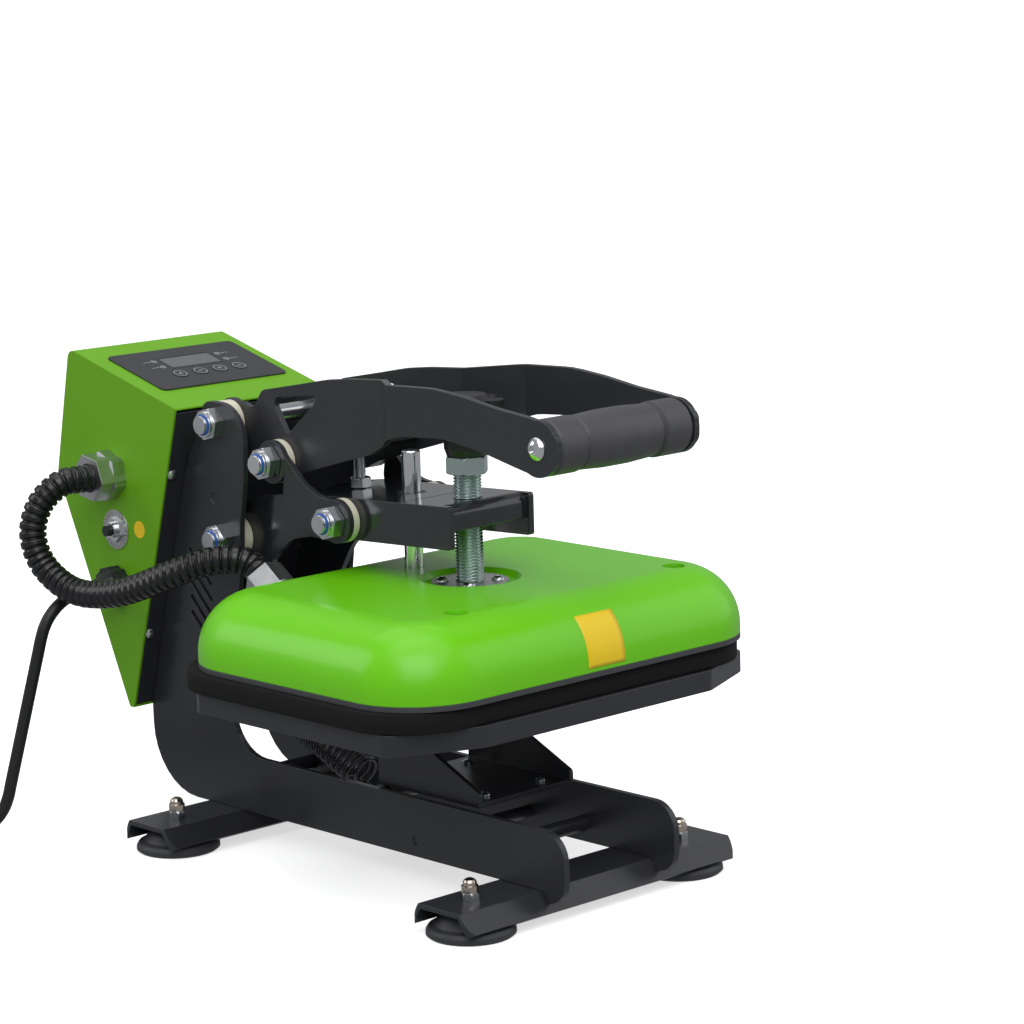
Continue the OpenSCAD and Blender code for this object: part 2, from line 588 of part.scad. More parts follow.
module heater_cover() color("limegreen") difference() {
  union() {
    difference() {
      domed(plate_w/2, plate_d/2, plate_corner_r, cover_round, cover_z, cover_top);
      domed(plate_w/2 - cover_wall, plate_d/2 - cover_wall, plate_corner_r - cover_wall,
        cover_round - cover_wall, cover_z - 1, cover_top - cover_wall);
    }
    translate([0, plate_y, dish_z - 2]) cylinder(r = 34, h = 5);
    at_cover_screws() translate([0, 0, cover_top - 5]) cylinder(r = 9, h = 4);
  }
  translate([0, plate_y, dish_z]) cylinder(r1 = 29.4, r2 = 32.2, h = 4.2);
  translate([0, plate_y, 150]) cylinder(r = 18.3, h = 45);
  translate([0, guide_y, 150]) cylinder(r = guide_r + 0.5, h = 60);
  at_cover_screws() {
    translate([0, 0, cover_top - 3.4]) cylinder(r = 7.2, h = 5);
    translate([0, 0, 150]) cylinder(r = 2.4, h = 60);
  }
  on_hot_gland() translate([0, 0, gland_neck_z - 2]) cylinder(r = 8.8, h = 20);
}
module at_cover_screws() for (c = cover_fix) translate([c[0], c[1], 0]) children();
module on_hot_gland() translate([hot_gland_x, plate_y + plate_d/2 - cover_round, cover_top - cover_round])
  rotate([hot_gland_tilt - 90, 0, 0]) children();
module hot_plate() color("dimgray") {
  plate(plate_w/2, plate_d/2, plate_corner_r, hot_z, cover_z - 0.1);
  plate(plate_w/2 - 7, plate_d/2 - 7, plate_corner_r - 7, cover_z - 0.2, hot_top);
}
module heating_element() color("gray") {
  x0 = element_x - element_bend;
  y0 = element_y - element_bend;
  for (s = [-1, 1]) {
    translate([-x0, plate_y + s*element_y, element_z]) rotate([0, 90, 0]) cylinder(r = element_r, h = 2*x0);
    translate([s*element_x, plate_y - y0, element_z]) rotate([-90, 0, 0]) cylinder(r = element_r, h = 2*y0);
  }
  for (sx = [-1, 1], sy = [-1, 1]) translate([sx*x0, plate_y + sy*y0, element_z])
    rotate([0, 0, (sx > 0 ? (sy > 0 ? 0 : 270) : (sy > 0 ? 90 : 180))]) rotate_extrude(angle = 90)
      translate([element_bend, 0]) circle(element_r);
}
module screw_flange() color("silver") translate([0, plate_y, 0]) difference() {
  union() {
    translate([0, 0, hot_top]) cylinder(r = 18, h = dish_z - hot_top + 1);
    translate([0, 0, dish_z]) cylinder(r = flange_r, h = flange_t);
  }
  translate([0, 0, 174]) cylinder(r = screw_r + run_gap, h = 40);
}
module cover_screws() color("silver") {
  translate([0, plate_y, dish_z + flange_t]) for (a = [45:90:315]) rotate(a) translate([17.5, 0, 0]) difference() {
    intersection() {
      cylinder(r = 4.2, h = 2.6);
      translate([0, 0, -2.3]) sphere(r = 5);
    }
    translate([0, 0, 1.2]) hexagon(2.6, 3);
  }
  at_cover_screws() translate([0, 0, cover_top - 3.4]) cylinder(r = 4.6, h = 1.4);
}
module guide_rod() color("silver") translate([0, guide_y, hot_top]) union() {
  cylinder(r = guide_r, h = guide_len);
  translate([0, 0, guide_len]) cylinder(r1 = guide_r, r2 = guide_r - 0.8, h = 0.8);
}
module hot_gland() color("silver") on_hot_gland() difference() {
  union() {
    translate([0, 0, gland_neck_z]) cylinder(r = 8.5, h = 8);
    translate([0, 0, gland_hex_z - 1.3]) cylinder(r = 14, h = 1.4);
    translate([0, 0, gland_hex_z]) rotate(12) hexagon(25, 17);
  }
  translate([0, 0, gland_bore_z]) cylinder(r = conduit_r + 0.3, h = 40);
}

// pressure screw -------------------------------------------------------

module pressure_screw() color("silver") translate([0, plate_y, screw_z])
  cylinder(r = screw_r, h = screw_len);
module jam_nut() color("silver") translate([0, plate_y, jam_z]) difference() {
  intersection() {
    rotate(38) hexagon(24, jam_t);
    rotate_extrude() polygon([[0, 0], [12.7, 0], [14, 1.2], [14, jam_t - 1.2], [12.7, jam_t], [0, jam_t]]);
  }
  translate([0, 0, -1]) cylinder(r = screw_r + 0.02, h = 20);
}
module star_knob() color("black") translate([0, plate_y, 0]) difference() {
  union() {
    translate([0, 0, knob_z]) cylinder(r1 = 12.4, r2 = 14, h = 5);
    translate([0, 0, knob_z + 4.9]) cylinder(r = 14, h = knob_skirt - knob_z - 4.8);
    translate([0, 0, knob_skirt]) linear_extrude(20) {
      circle(knob_r - 6.5);
      for (a = [0:60:300]) rotate(a) translate([knob_r - 7, 0]) circle(7);
    }
    translate([0, 0, knob_top - 3]) cylinder(r1 = 16, r2 = 13, h = 3);
  }
  translate([0, 0, knob_z - 5]) cylinder(r = screw_r + 0.02, h = screw_z + screw_len - knob_z + 5);
}

front_foot_bar();
rear_foot_bar();
rubber_feet();
foot_studs();
acorn_nuts();
left_side_plate();
right_side_plate();
frame_ties();
platen_bracket();
bracket_screws();
lower_platen();
silicone_pad();
pivot_rods();
pivot_nuts();
pivot_bushes();
spring();
box_cover();
box_tray();
box_screws();
overlay_panel();
lcd_window();
key_1();
key_2();
key_3();
key_4();
control_board();
solid_state_relay();
box_gland();
breaker();
reset_button();
cord_gland();
conduit();
cord();
cord_coil();
plug();
cord_tie();
left_handle_arm();
right_handle_arm();
handle_plate();
grip();
grip_bolt();
toggle_rod();
toggle_nuts();
link_plates();
link_bushes();
link_bolts();
link_nuts();
upper_arm();
guide_bush();
stop_bolt();
heater_cover();
hot_plate();
heating_element();
screw_flange();
cover_screws();
guide_rod();
hot_gland();
pressure_screw();
jam_nut();
star_knob();
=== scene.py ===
import json
import math
import bpy
import bmesh
from mathutils import Vector, Matrix, noise


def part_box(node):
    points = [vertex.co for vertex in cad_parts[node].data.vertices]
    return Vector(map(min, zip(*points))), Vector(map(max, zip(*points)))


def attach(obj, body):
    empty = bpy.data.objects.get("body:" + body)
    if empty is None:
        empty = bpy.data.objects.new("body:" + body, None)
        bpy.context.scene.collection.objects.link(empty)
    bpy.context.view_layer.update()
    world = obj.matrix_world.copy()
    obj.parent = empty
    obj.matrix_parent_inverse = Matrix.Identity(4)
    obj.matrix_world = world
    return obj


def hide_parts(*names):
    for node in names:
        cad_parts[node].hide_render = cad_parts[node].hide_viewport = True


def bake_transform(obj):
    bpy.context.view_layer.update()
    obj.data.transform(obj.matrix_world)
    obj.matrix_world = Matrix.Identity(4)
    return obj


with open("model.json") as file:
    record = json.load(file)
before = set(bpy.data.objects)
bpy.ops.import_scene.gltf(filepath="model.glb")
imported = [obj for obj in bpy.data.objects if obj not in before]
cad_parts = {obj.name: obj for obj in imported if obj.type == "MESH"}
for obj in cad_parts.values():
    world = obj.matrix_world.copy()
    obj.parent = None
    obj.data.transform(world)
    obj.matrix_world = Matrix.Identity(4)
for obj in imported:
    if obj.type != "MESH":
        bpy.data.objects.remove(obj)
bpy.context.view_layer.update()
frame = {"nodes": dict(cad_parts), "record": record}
scene = bpy.context.scene
MM = 0.001

# places in millimetres: pivots as (y, z), the box's sloping top, its left side and what sits on it
PIVOT_A = (86.6, 277.8)
PIVOT_B = (82.9, 201.9)
PIVOT_C = (36.7, 256.4)
PIVOT_D = (-24.7, 224.6)
TOP_FRONT = (109.3, 286.7)
TOP_BACK = (224.1, 318.2)
BOX_HW = 64
BREAKER = (179.5, 199.4)
PANEL_X = 2.0
KEY_X = (-23, -6, 10.5, 27)
KEY_V = 50.8
COVER_ROUND = 0.038

# camera: turn, tilt and roll in degrees, the point it is set out from, and the offset from that point
CAM_ANGLES = (-43.07, 10.03, -1.59)
CAM_BASE = (0, -125.3, 200)
CAM_OFFSET = (9.23, 34.98, 2079.3)
CAM_LENS = 118.39


def mmv(x, y, z):
    return Vector((x, y, z)) * MM


# ---------------------------------------------------------------- camera

def make_camera():
    """The view from the press's front left, a little above it."""
    yaw, pitch, roll = (math.radians(a) for a in CAM_ANGLES)
    back = Vector((math.sin(yaw) * math.cos(pitch), -math.cos(yaw) * math.cos(pitch), math.sin(pitch)))
    right = Vector((math.cos(yaw), math.sin(yaw), 0))
    up = back.cross(right)
    r = right * math.cos(roll) + up * math.sin(roll)
    u = up * math.cos(roll) - right * math.sin(roll)
    cam = bpy.data.cameras.new("view_camera")
    cam.sensor_width = 36
    cam.lens = CAM_LENS
    cam.clip_start = 0.1
    cam.clip_end = 50
    ob = bpy.data.objects.new("view_camera", cam)
    scene.collection.objects.link(ob)
    across, upwards, away = CAM_OFFSET
    place = mmv(*CAM_BASE) + (r * across + u * upwards + back * away) * MM
    m = Matrix((r, u, back)).transposed().to_4x4()
    m.translation = place
    ob.matrix_world = m
    scene.camera = ob


make_camera()

# ------------------------------------------------------------- materials

def node(t, kind, **sets):
    """A new shader node with its settings."""
    n = t.nodes.new(kind)
    for k, v in sets.items():
        setattr(n, k, v)
    return n


def surface(name, base, rough=0.4, metal=0.0, vary=0.12, vary_scale=14.0, grain=900.0, bump=0.12,
            depth=0.00015, rough_vary=0.08, edge=0.0006, wear_and_highlight=0.0, wear_and_highlight_col=None, coat=0.0, brushed=None,
            fleck=0.0, spec=0.5):
    """Principled material with colour drift, fine grain, soft edges, and edges lightened for both wear and a
    painted highlight.
    """
    m = bpy.data.materials.new(name)
    m.use_nodes = True
    t = m.node_tree
    t.nodes.clear()
    out = node(t, "ShaderNodeOutputMaterial")
    p = node(t, "ShaderNodeBsdfPrincipled")
    t.links.new(p.outputs[0], out.inputs[0])
    co = node(t, "ShaderNodeTexCoord")
    where = co.outputs["Object"]
    fine_at = where
    if brushed is not None:
        mp = node(t, "ShaderNodeMapping")
        mp.inputs["Scale"].default_value = brushed
        t.links.new(where, mp.inputs[0])
        fine_at = mp.outputs[0]
    big = node(t, "ShaderNodeTexNoise")
    big.inputs["Scale"].default_value = vary_scale
    big.inputs["Detail"].default_value = 4
    t.links.new(where, big.inputs["Vector"])
    fine = node(t, "ShaderNodeTexNoise")
    fine.inputs["Scale"].default_value = grain
    fine.inputs["Detail"].default_value = 3
    t.links.new(fine_at, fine.inputs["Vector"])
    ramp = node(t, "ShaderNodeMix", data_type="RGBA", blend_type="MIX")
    dark = [c * (1 - vary) for c in base]
    lite = [min(1, c * (1 + vary)) for c in base]
    ramp.inputs[6].default_value = (*dark, 1)
    ramp.inputs[7].default_value = (*lite, 1)
    t.links.new(big.outputs["Fac"], ramp.inputs[0])
    colour = ramp.outputs[2]
    if fleck > 0:
        fl = node(t, "ShaderNodeMix", data_type="RGBA", blend_type="MULTIPLY")
        grey = node(t, "ShaderNodeMapRange")
        grey.inputs["From Min"].default_value = 0.35
        grey.inputs["From Max"].default_value = 0.65
        grey.inputs["To Min"].default_value = 1 - fleck
        grey.inputs["To Max"].default_value = 1 + fleck
        t.links.new(fine.outputs["Fac"], grey.inputs[0])
        comb = node(t, "ShaderNodeCombineColor")
        for k in range(3):
            t.links.new(grey.outputs[0], comb.inputs[k])
        fl.inputs[0].default_value = 1
        t.links.new(colour, fl.inputs[6])
        t.links.new(comb.outputs[0], fl.inputs[7])
        colour = fl.outputs[2]
    normal = None
    if edge > 0:
        bev = node(t, "ShaderNodeBevel", samples=4)
        bev.inputs["Radius"].default_value = edge
        normal = bev.outputs[0]
        # Lightens the edges: partly edge wear, and partly a painted highlight where edges catch the light.
        if wear_and_highlight > 0:
            geo = node(t, "ShaderNodeNewGeometry")
            dot = node(t, "ShaderNodeVectorMath", operation="DOT_PRODUCT")
            t.links.new(bev.outputs[0], dot.inputs[0])
            t.links.new(geo.outputs["True Normal"], dot.inputs[1])
            mr = node(t, "ShaderNodeMapRange")
            mr.inputs["From Min"].default_value = 0.99
            mr.inputs["From Max"].default_value = 0.80
            mr.inputs["To Min"].default_value = 0.0
            mr.inputs["To Max"].default_value = wear_and_highlight
            t.links.new(dot.outputs["Value"], mr.inputs[0])
            brk = node(t, "ShaderNodeMath", operation="MULTIPLY")
            t.links.new(mr.outputs[0], brk.inputs[0])
            t.links.new(big.outputs["Fac"], brk.inputs[1])
            mx = node(t, "ShaderNodeMix", data_type="RGBA", blend_type="MIX")
            t.links.new(brk.outputs[0], mx.inputs[0])
            t.links.new(colour, mx.inputs[6])
            edge_tint = wear_and_highlight_col or [min(1, c * 3 + 0.05) for c in base]
            mx.inputs[7].default_value = (*edge_tint, 1)
            colour = mx.outputs[2]
    t.links.new(colour, p.inputs["Base Color"])
    rr = node(t, "ShaderNodeMapRange")
    rr.inputs["To Min"].default_value = max(0.02, rough - rough_vary)
    rr.inputs["To Max"].default_value = min(1, rough + rough_vary)
    t.links.new(big.outputs["Fac"], rr.inputs[0])
    t.links.new(rr.outputs[0], p.inputs["Roughness"])
    p.inputs["Metallic"].default_value = metal
    p.inputs["Specular IOR Level"].default_value = spec
    if coat > 0:
        p.inputs["Coat Weight"].default_value = coat
        p.inputs["Coat Roughness"].default_value = 0.06
    bp = node(t, "ShaderNodeBump")
    bp.inputs["Strength"].default_value = bump
    bp.inputs["Distance"].default_value = depth
    t.links.new(fine.outputs["Fac"], bp.inputs["Height"])
    if normal is not None:
        t.links.new(normal, bp.inputs["Normal"])
    t.links.new(bp.outputs[0], p.inputs["Normal"])
    return m


# The lighter edge colours of black_frame, black_gloss and hot_face are partly edge wear and partly a painted
# highlight.
MAT = {
    "black_frame": surface("black_powder_coat", (0.027, 0.028, 0.034), 0.29, vary=0.15, grain=1500, bump=0.30,
                           depth=0.0002, wear_and_highlight=0.5, wear_and_highlight_col=(0.16, 0.17, 0.18), edge=0.0008, spec=0.5),
    "black_gloss": surface("black_gloss_enamel", (0.016, 0.017, 0.021), 0.16, vary=0.12, grain=500, bump=0.10,
                           depth=0.0002, wear_and_highlight=0.35, wear_and_highlight_col=(0.14, 0.15, 0.16), edge=0.0009, coat=0.4),
    "hot_face": surface("hot_plate_coating", (0.050, 0.052, 0.058), 0.52, vary=0.08, grain=2200, bump=0.2,
                        depth=0.0001, edge=0.0008, wear_and_highlight=0.4, wear_and_highlight_col=(0.25, 0.25, 0.26)),
    "green_gloss": surface("gloss_lime_paint", (0.165, 0.640, 0.004), 0.31, vary=0.035, vary_scale=6,
                           grain=260,
                           bump=0.05, depth=0.0002, rough_vary=0.03, edge=0.0009, coat=0.12, spec=0.4),
    "green_satin": surface("satin_green_powder", (0.150, 0.420, 0.006), 0.42, vary=0.05, vary_scale=8,
                           grain=1300,
                           bump=0.16, depth=0.00012, rough_vary=0.04, edge=0.0010, spec=0.3),
    "zinc": surface("bright_zinc", (0.66, 0.68, 0.70), 0.20, metal=1.0, vary=0.10, vary_scale=120, grain=700,
                    bump=0.10, depth=0.0001, edge=0.0005, rough_vary=0.07),
    "zinc_cast": surface("dull_zinc_cast", (0.52, 0.53, 0.54), 0.34, metal=1.0, vary=0.16, vary_scale=90,
                         grain=650, bump=0.28, depth=0.0002, edge=0.0007, rough_vary=0.10),
    "nickel": surface("warm_nickel", (0.60, 0.52, 0.44), 0.17, metal=1.0, vary=0.08, vary_scale=150,
                      grain=500,
                      bump=0.06, depth=0.0001, edge=0.0004),
    "chrome_rod": surface("polished_chrome", (0.80, 0.81, 0.82), 0.10, metal=1.0, vary=0.04, vary_scale=80,
                          grain=1500, bump=0.03, depth=0.00005, edge=0.0005, brushed=(1, 1, 0.2)),
    "screw_zinc": surface("blue_zinc_thread", (0.50, 0.60, 0.58), 0.27, metal=1.0, vary=0.14, vary_scale=110,
                          grain=800, bump=0.15, depth=0.0001, edge=0.0004, rough_vary=0.08),
    "flange_alu": surface("turned_aluminium", (0.62, 0.63, 0.64), 0.30, metal=1.0, vary=0.08, vary_scale=60,
                          grain=1200, bump=0.12, depth=0.0001, edge=0.0005),
    "nylon": surface("cream_nylon", (0.72, 0.68, 0.55), 0.42, vary=0.06, vary_scale=70, grain=900, bump=0.10,
                     depth=0.0001, edge=0.0008),
    "rubber": surface("foot_rubber", (0.036, 0.037, 0.043), 0.50, vary=0.2, grain=1100, bump=0.25,
                      depth=0.0002,
                      edge=0.0008),
    "foam": surface("silicone_sponge", (0.0075, 0.0075, 0.008), 0.85, vary=0.22, vary_scale=40, grain=1900,
                    bump=0.9, depth=0.0004, edge=0.001, fleck=0.35, spec=0.25),
    "spring_steel": surface("oiled_spring_wire", (0.09, 0.09, 0.095), 0.28, metal=0.9, vary=0.2,
                            vary_scale=90,
                            grain=900, bump=0.10, depth=0.0001, edge=0.0),
    "grip_foam": surface("grip_rubber", (0.062, 0.062, 0.068), 0.46, vary=0.12, vary_scale=30, grain=1400,
                         bump=0.28, depth=0.0002, edge=0.0006),
    "knob_black": surface("moulded_black", (0.014, 0.014, 0.016), 0.34, vary=0.12, grain=1000, bump=0.16,
                          depth=0.0002, edge=0.0012),
    "overlay": surface("membrane_panel", (0.030, 0.032, 0.036), 0.42, vary=0.05, grain=2600, bump=0.22,
                       depth=0.00008, edge=0.0003),
    "lcd": surface("display_window", (0.115, 0.125, 0.130), 0.22, vary=0.04, vary_scale=20, grain=3000,
                   bump=0.02,
                   depth=0.00005, edge=0.0003, coat=0.4),
    "key": surface("membrane_key", (0.034, 0.036, 0.041), 0.40, vary=0.05, grain=2600, bump=0.20,
                   depth=0.00008,
                   edge=0.0006),
    "pcb": surface("circuit_board", (0.01, 0.12, 0.04), 0.35, vary=0.15, grain=600, bump=0.1, edge=0.0003),
    "relay": surface("relay_block", (0.03, 0.03, 0.03), 0.45, vary=0.1, grain=900, bump=0.15, edge=0.0006),
    "cable": surface("cable_sheath", (0.010, 0.010, 0.011), 0.42, vary=0.12, grain=900, bump=0.12,
                     depth=0.0001,
                     edge=0.0),
    "conduit_pa": surface("conduit_polyamide", (0.0085, 0.0085, 0.0095), 0.22, vary=0.15, vary_scale=60,
                          grain=800, bump=0.10, depth=0.0001, edge=0.0, rough_vary=0.06),
    "element": surface("element_sheath", (0.25, 0.23, 0.21), 0.42, metal=0.9, vary=0.2, grain=500, bump=0.2),
    "blue_ring": surface("blue_nylon_ring", (0.02, 0.10, 0.42), 0.35, vary=0.06, grain=900, bump=0.08,
                         edge=0.0002),
    "label": surface("yellow_label", (0.95, 0.66, 0.010), 0.40, vary=0.03, grain=1500, bump=0.06, edge=0.0),
    "ink": surface("printed_ink", (0.02, 0.02, 0.02), 0.5, vary=0.05, grain=1500, bump=0.05, edge=0.0),
    "print": surface("panel_print", (0.30, 0.31, 0.32), 0.5, vary=0.05, grain=1500, bump=0.05, edge=0.0),
    "led_off": surface("indicator_dot", (0.20, 0.20, 0.20), 0.3, vary=0.05, grain=1500, bump=0.05, edge=0.0),
    "dial": surface("printed_dial_plate", (0.52, 0.52, 0.53), 0.35, metal=0.8, vary=0.06, grain=900, bump=0.1,
                    edge=0.0003),
}

slot_of = {s["node"]: s["material_slot"] for s in frame["record"]["subparts"]}
for name, ob in frame["nodes"].items():
    ob.data.materials.clear()
    ob.data.materials.append(MAT[slot_of[name]])


def finish_piece(ob, mat, body, replaces=(), smooth=True):
    """Give a made piece its material and body, and hide the parts it replaces."""
    if ob.type == "MESH":
        ob.data.materials.clear()
        ob.data.materials.append(MAT[mat])
        if smooth:
            for f in ob.data.polygons:
                f.use_smooth = True
    if body:
        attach(ob, body)
    if replaces:
        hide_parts(*replaces)
    return ob


def mesh_object(name, verts, faces):
    """A mesh with its faces turned outwards."""
    me = bpy.data.meshes.new(name)
    me.from_pydata([tuple(v) for v in verts], [], faces)
    me.validate()
    me.update()
    ob = bpy.data.objects.new(name, me)
    scene.collection.objects.link(ob)
    bm = bmesh.new()
    bm.from_mesh(me)
    bmesh.ops.recalc_face_normals(bm, faces=bm.faces)
    bm.to_mesh(me)
    bm.free()
    return ob


def sharp_by_angle(ob, deg=35):
    """Edges that turn by more than this angle stay crisp."""
    bm = bmesh.new()
    bm.from_mesh(ob.data)
    for e in bm.edges:
        if len(e.link_faces) == 2 and e.calc_face_angle(0) > math.radians(deg):
            e.smooth = False
    bm.to_mesh(ob.data)
    bm.free()


# ------------------------------------------------------------ path tools

def spline(pts, m):
    """Smooth path through points, the same curve as the CAD's."""
    n = len(pts)
    out = []
    for i in range(n - 1):
        a, b, c, e = pts[max(i - 1, 0)], pts[i], pts[i + 1], pts[min(i + 2, n - 1)]
        for j in range(m):
            t = j / m
            out.append(0.5 * (2 * b + (c - a) * t + (2 * a - 5 * b + 4 * c - e) * t * t
                              + (3 * b - a - 3 * c + e) * t ** 3))
    out.append(pts[-1].copy())
    return out


def even(path, step):
    """The path resampled at an even step."""
    d = [0.0]
    for a, b in zip(path, path[1:]):
        d.append(d[-1] + (b - a).length)
    n = max(2, round(d[-1] / step))
    out, k = [], 0
    for i in range(n + 1):
        s = d[-1] * i / n
        while k < len(d) - 2 and d[k + 1] < s:
            k += 1
        f = (s - d[k]) / max(1e-12, d[k + 1] - d[k])
        out.append(path[k].lerp(path[k + 1], min(1, f)))
    return out


def tube(name, path, radius_at, sides=24, cap=True):
    """A closed tube along a path; radius_at(i, n, s) gives the radius at ring i and length s."""
    n = len(path)
    t0 = (path[1] - path[0]).normalized()
    ref = Vector((0, 0, 1)) if abs(t0.z) < 0.9 else Vector((0, 1, 0))
    u = t0.cross(ref).normalized()
    verts, s = [], 0.0
    last = t0
    for i, q in enumerate(path):
        t = (path[min(i + 1, n - 1)] - path[max(i - 1, 0)]).normalized()
        u = (last.rotation_difference(t) @ u)
        u = (u - t * u.dot(t)).normalized()
        last = t
        w = t.cross(u)
        if i:
            s += (q - path[i - 1]).length
        r = radius_at(i, n, s)
        for k in range(sides):
            a = 2 * math.pi * k / sides
            verts.append(q + (u * math.cos(a) + w * math.sin(a)) * r)
    faces = []
    for i in range(n - 1):
        for k in range(sides):
            k2 = (k + 1) % sides
            faces.append((i * sides + k, i * sides + k2, (i + 1) * sides + k2, (i + 1) * sides + k))
    if cap:
        faces.append(tuple(range(sides)))
        faces.append(tuple(range((n - 1) * sides, n * sides)))
    return mesh_object(name, verts, faces)


def lathe(name, profile, origin, axis, seg=48):
    """A revolved closed body; profile holds (radius, height) from bottom to top, in metres."""
    axis = Vector(axis).normalized()
    ref = Vector((0, 0, 1)) if abs(axis.z) < 0.9 else Vector((1, 0, 0))
    u = axis.cross(ref).normalized()
    w = axis.cross(u)
    verts, faces = [], []
    for r, h in profile:
        for k in range(seg):
            a = 2 * math.pi * k / seg
            verts.append(Vector(origin) + axis * h + (u * math.cos(a) + w * math.sin(a)) * max(r, 1e-5))
    n = len(profile)
    for i in range(n - 1):
        for k in range(seg):
            k2 = (k + 1) % seg
            faces.append((i * seg + k, i * seg + k2, (i + 1) * seg + k2, (i + 1) * seg + k))
    faces.append(tuple(range(seg)))
    faces.append(tuple(range((n - 1) * seg, n * seg)))
    return mesh_object(name, verts, faces)


def threaded(name, origin, axis, r, length, pitch, depth, seg=40, rows=8, chamfer=0.0012):
    """A rod with a real helical thread."""
    axis = Vector(axis).normalized()
    ref = Vector((0, 0, 1)) if abs(axis.z) < 0.9 else Vector((1, 0, 0))
    u = axis.cross(ref).normalized()
    w = axis.cross(u)
    n = int(length / pitch * rows)
    verts, faces = [], []
    for i in range(n + 1):
        h = length * i / n
        lim = r - max(0.0, chamfer - min(h, length - h))
        for k in range(seg):
            a = 2 * math.pi * k / seg
            ph = (h / pitch - k / seg) % 1.0
            tri = abs(2 * ph - 1)
            tri = min(1.0, max(0.0, (tri - 0.12) / 0.76))
            rad = min(lim, r - depth * tri)
            verts.append(Vector(origin) + axis * h + (u * math.cos(a) + w * math.sin(a)) * rad)
    for i in range(n):
        for k in range(seg):
            k2 = (k + 1) % seg
            faces.append((i * seg + k, i * seg + k2, (i + 1) * seg + k2, (i + 1) * seg + k))
    faces.append(tuple(range(seg)))
    faces.append(tuple(range(n * seg, (n + 1) * seg)))
    return mesh_object(name, verts, faces)


# ---------------------------------------------------------- power cord

CORD_R = 4.1 * MM
COIL_C = mmv(-187.1, 297.1, 0)
COIL_START = math.radians(232.35)
COIL_STEP = 8.3
COIL_INNER = 33.4
COIL_OUTER = 57.9
COIL_LOW = 4.25
COIL_HIGH = 12.6
INWARD_STEP = 8.25
TOP_TURNS_END = 5
PLUG_Y = 44.4
PLUG_Z = 8.6


def smooth(f):
    """An even start and stop between 0 and 1."""
    f = min(1.0, max(0.0, f))
    return f * f * (3 - 2 * f)


def bends(corners, radii):
    """Straight runs joined by round bends, the same route as the CAD's."""
    out = [corners[0]]
    for k, radius in enumerate(radii, 1):
        u = (corners[k] - corners[k - 1]).normalized()
        w = (corners[k + 1] - corners[k]).normalized()
        turn = u.angle(w)
        v = (w - u * w.dot(u)).normalized()
        at = corners[k] - u * radius * math.tan(turn / 2)
        for i in range(13):
            a = turn * i / 12
            out.append(at + (v * (1 - math.cos(a)) + u * math.sin(a)) * radius)
    out.append(corners[-1])
    return out


def coil_radius(t):
    """Radius after t turns: inwards on the floor, then outwards on top."""
    if t <= 2:
        return COIL_OUTER - INWARD_STEP * t
    if t <= 2.55:
        second = COIL_OUTER - INWARD_STEP * 2
        return second - (second - COIL_INNER) * (t - 2) / 0.55
    if t <= 3:
        return COIL_INNER
    whole = math.floor(t - 3)
    return COIL_INNER + COIL_STEP * (whole + min(1.0, (t - 3 - whole) / 0.9))


def cord_points():
    """The cord's centre line: gland, floor, coil of two layers, plug."""
    entry = COIL_C + mmv(COIL_OUTER * math.cos(COIL_START), COIL_OUTER * math.sin(COIL_START), COIL_LOW)
    run = bends([mmv(-76, 179.8, 161.2), mmv(-121, 179.8, 161.2), mmv(-156, 200, 4.1), entry],
                [0.033, 0.034])
    pts = even(run, 0.0092)[:-1]
    end = (COIL_START - math.radians(90)) / (2 * math.pi) + TOP_TURNS_END
    n = int(end * 24)
    for i in range(n + 1):
        t = end * i / n
        a = COIL_START - 2 * math.pi * t
        rad = coil_radius(t)
        z = COIL_LOW + (COIL_HIGH - COIL_LOW) * smooth((t - 2.5) / 0.45)
        pts.append(COIL_C + mmv(rad * math.cos(a), rad * math.sin(a), z))
    last_y = coil_radius(end)
    for x in (10, 20, 30, 40, 50):
        f = smooth(x / 50)
        pts.append(COIL_C + mmv(x, last_y + (PLUG_Y - last_y) * f, COIL_HIGH + (PLUG_Z - COIL_HIGH) * f))
    return pts


def make_cord():
    """The power cord as one curve; the plug and the tie stay with it."""
    pts = cord_points()
    cu = bpy.data.curves.new("power_cord", "CURVE")
    cu.dimensions = "3D"
    sp = cu.splines.new("BEZIER")
    sp.bezier_points.add(len(pts) - 1)
    for b, q in zip(sp.bezier_points, pts):
        b.co = q
        b.handle_left_type = b.handle_right_type = "AUTO"
    cu.bevel_depth = CORD_R
    cu.bevel_resolution = 5
    cu.resolution_u = 4
    cu.use_fill_caps = True
    ob = bpy.data.objects.new("power_cord", cu)
    scene.collection.objects.link(ob)
    cu.materials.append(MAT["cable"])
    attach(ob, "base")
    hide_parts("cord", "cord_coil")


make_cord()

# ------------------------------------------------------------- conduit

CONDUIT_ROUTE = [(-72, 181.7, 236.5), (-90, 181.7, 236.5), (-104, 185, 235), (-117, 191, 222),
                 (-123, 192, 202), (-121, 182, 181), (-115, 156, 167.5), (-108, 118, 171),
                 (-98, 78, 186), (-86, 56, 195), (-74, 41, 197), (-67, 32.5, 193.5),
                 (-66, 25.6, 188.4), (-66, 15, 181)]


